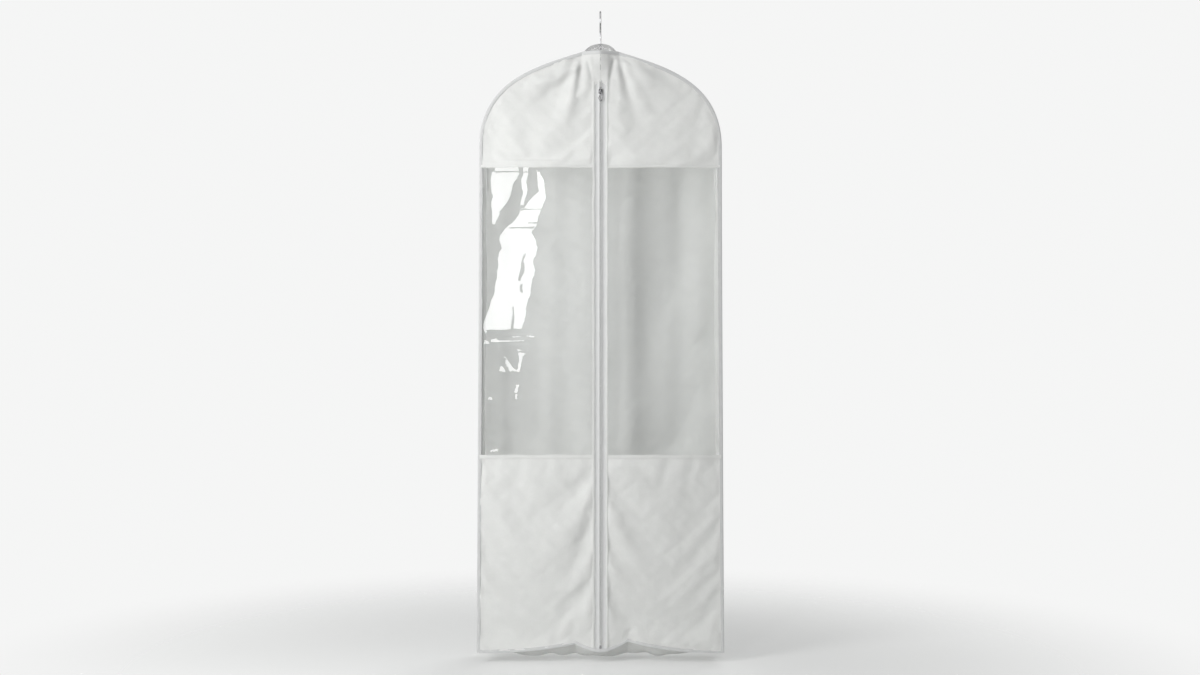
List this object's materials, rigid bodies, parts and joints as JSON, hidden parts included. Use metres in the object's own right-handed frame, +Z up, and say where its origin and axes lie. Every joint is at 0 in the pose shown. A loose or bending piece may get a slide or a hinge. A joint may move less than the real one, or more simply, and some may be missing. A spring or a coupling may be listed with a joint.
{
  "type": "garment bag",
  "caption": "Long gusseted hanging garment bag with a zipped front, clear windows, bound edges and a clear neck cap, on a hanger with a swivel hook.",
  "frame": {"origin": "the inside of the hook's crown, where it sits on the rail, on the hook's swivel axis", "axes": "+Z up, the zipped front faces -Y, +X to the right as the front is looked at"},
  "size_m": [0.6, 0.1079, 1.6144],
  "materials": {
    "nonwoven": "matt white non-woven fabric",
    "vinyl": "clear glossy vinyl film",
    "binding": "folded white tape, slight sheen",
    "zip_tape": "woven polyester tape",
    "zip_coil": "moulded nylon coil",
    "zip_metal": "satin nickel plate",
    "stay": "extruded plastic rod",
    "hanger": "satin moulded plastic",
    "hook_wire": "bright plated wire"
  },
  "bodies": {
    "bag": {"back_edge_binding_left": "binding", "back_edge_binding_right": "binding", "back_hem_binding": "binding", "back_neck_binding": "binding", "back_panel": "nonwoven", "bottom_gusset": "nonwoven", "front_edge_binding_left": "binding", "front_edge_binding_right": "binding", "front_hem_binding": "binding", "front_neck_binding": "binding", "hanger_body": "hanger", "hook_washer": "hook_wire", "neck_cap": "vinyl", "shoulder_gusset_left": "nonwoven", "shoulder_gusset_right": "nonwoven", "shoulder_stay_back": "stay", "shoulder_stay_front": "stay", "side_gusset_left": "nonwoven", "side_gusset_right": "nonwoven", "yoke_neck_left": "nonwoven", "yoke_neck_right": "nonwoven", "zip_bottom_stop": "zip_metal"},
    "front_left": {"yoke_left": "nonwoven", "window_top_seam_left": "nonwoven", "window_left": "vinyl", "window_hem_left": "nonwoven", "lower_panel_left": "nonwoven", "zip_tape_left": "zip_tape", "zip_coil_left": "zip_coil", "zip_top_stop_left": "zip_metal"},
    "front_right": {"yoke_right": "nonwoven", "window_top_seam_right": "nonwoven", "window_right": "vinyl", "window_hem_right": "nonwoven", "lower_panel_right": "nonwoven", "zip_tape_right": "zip_tape", "zip_coil_right": "zip_coil", "zip_top_stop_right": "zip_metal"},
    "slider": {"zip_slider": "zip_metal"},
    "pull": {"zip_pull": "zip_metal"},
    "hook": {"hanger_hook": "hook_wire"}
  },
  "joints": [
    {"name": "hook_swivel", "type": "hinge", "parent": "bag", "child": "hook", "pos_m": [0, 0, -0.087], "axis": [0, 0, 1], "continuous": true},
    {"name": "zip_slide", "type": "slide", "parent": "bag", "child": "slider", "axis": [0, 0, -1], "range_m": [0, 1.36]},
    {"name": "front_left_open", "type": "hinge", "parent": "bag", "child": "front_left", "pos_m": [-0.2903, -0.05, -0.892], "axis": [0, 0, -1], "range_deg": [0, 55]},
    {"name": "front_right_open", "type": "hinge", "parent": "bag", "child": "front_right", "pos_m": [0.2903, -0.05, -0.892], "axis": [0, 0, 1], "range_deg": [0, 55]},
    {"name": "pull_swing", "type": "hinge", "parent": "slider", "child": "pull", "pos_m": [0, -0.0544, -0.204], "axis": [-1, 0, 0], "range_deg": [0, 165]}
  ],
  "couplings": [
    {"joint": "front_left_open", "follows": "zip_slide", "rad_per_m": 0.705},
    {"joint": "front_right_open", "follows": "zip_slide", "rad_per_m": 0.705}
  ]
}
